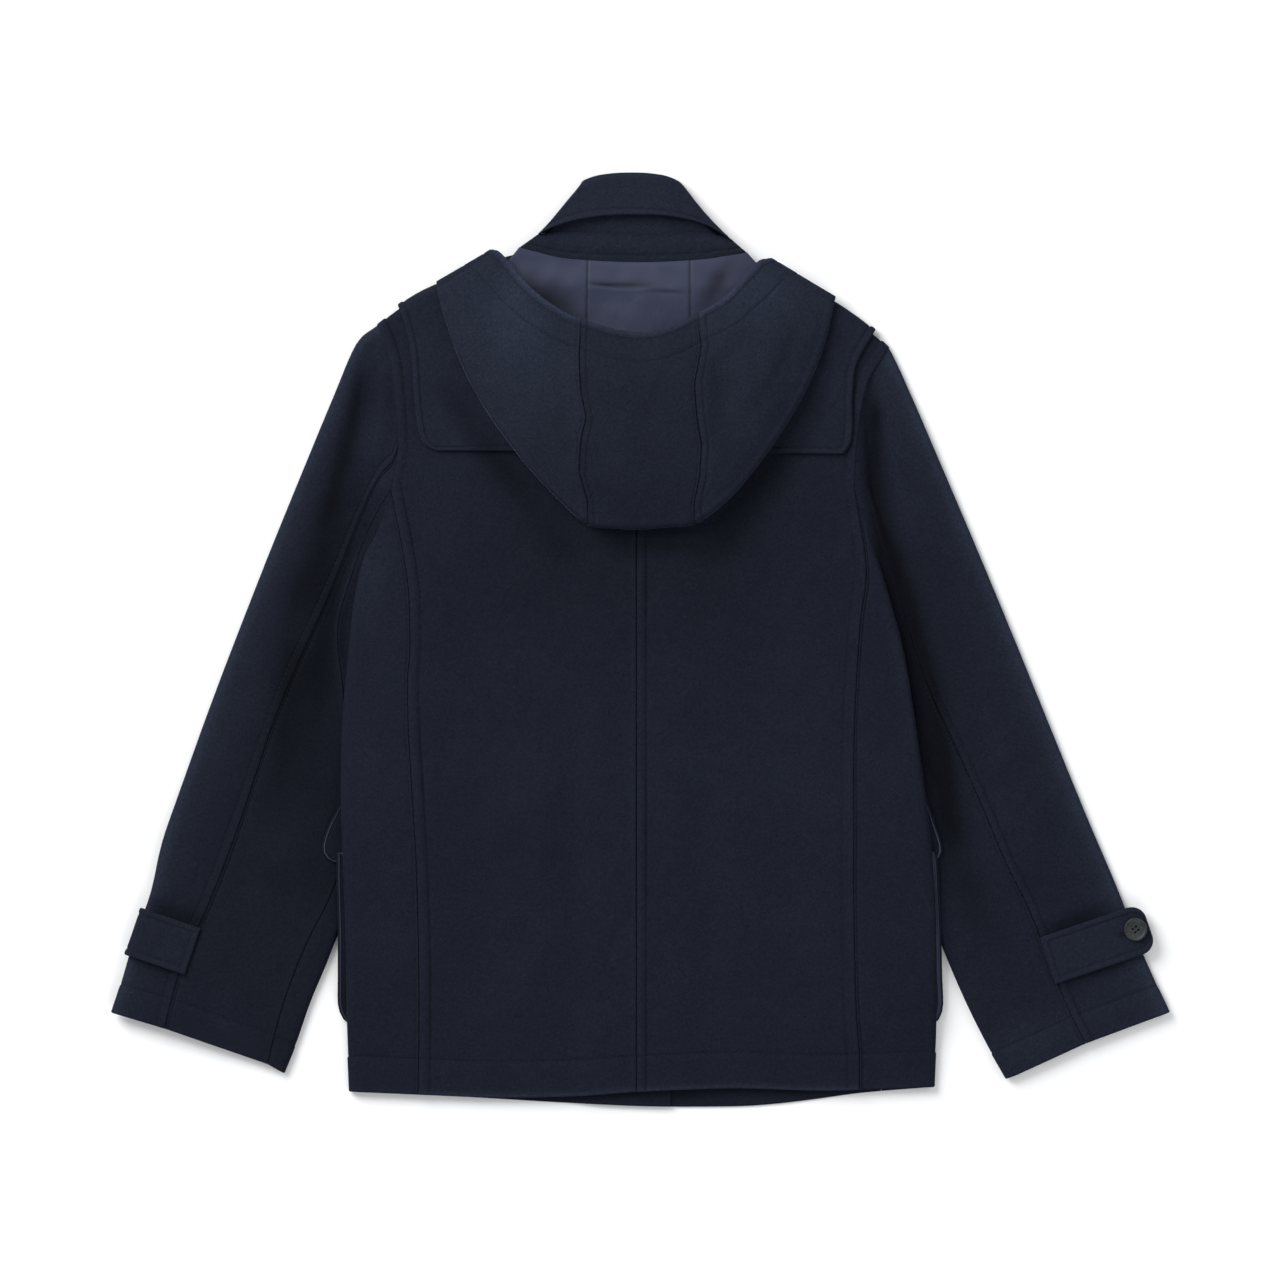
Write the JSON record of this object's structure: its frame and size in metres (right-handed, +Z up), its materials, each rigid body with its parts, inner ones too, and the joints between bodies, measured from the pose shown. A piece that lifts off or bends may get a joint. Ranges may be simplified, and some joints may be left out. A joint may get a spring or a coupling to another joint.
{
  "type": "duffle coat",
  "caption": "Short navy hooded wool duffle coat laid out flat, face down, with its hood and satin hood lining showing on the back and strapped cuffs.",
  "frame": {"origin": "middle of the coat's outline, on the plane it rests on; the coat lies on its front, back up", "axes": "+Y from the hem towards the collar, +X towards the wearer's right sleeve, +Z up out of the coat's back"},
  "size_m": [0.921, 0.8134, 0.0458],
  "materials": {
    "wool": "navy milled wool melton, matt with a short dense nap",
    "satin": "navy satin lining, soft sheen",
    "button": "near-black polyester button, semi-gloss with a raised rim"
  },
  "bodies": {
    "root": {"back_left": "wool", "back_right": "wool", "side_left": "wool", "side_right": "wool", "front_left": "wool", "front_right": "wool", "yoke": "wool", "sleeve_left_upper": "wool", "sleeve_left_under": "wool", "sleeve_right_upper": "wool", "sleeve_right_under": "wool", "cuff_strap_left": "wool", "cuff_strap_right": "wool", "pocket_left": "wool", "pocket_right": "wool", "pocket_flap_left": "wool", "pocket_flap_right": "wool", "collar_fall": "wool", "collar_stand": "wool", "hood_band": "wool", "hood_left": "wool", "hood_centre": "wool", "hood_right": "wool", "hood_lining": "satin", "cuff_button_left": "button", "cuff_button_right": "button"}
  },
  "joints": []
}
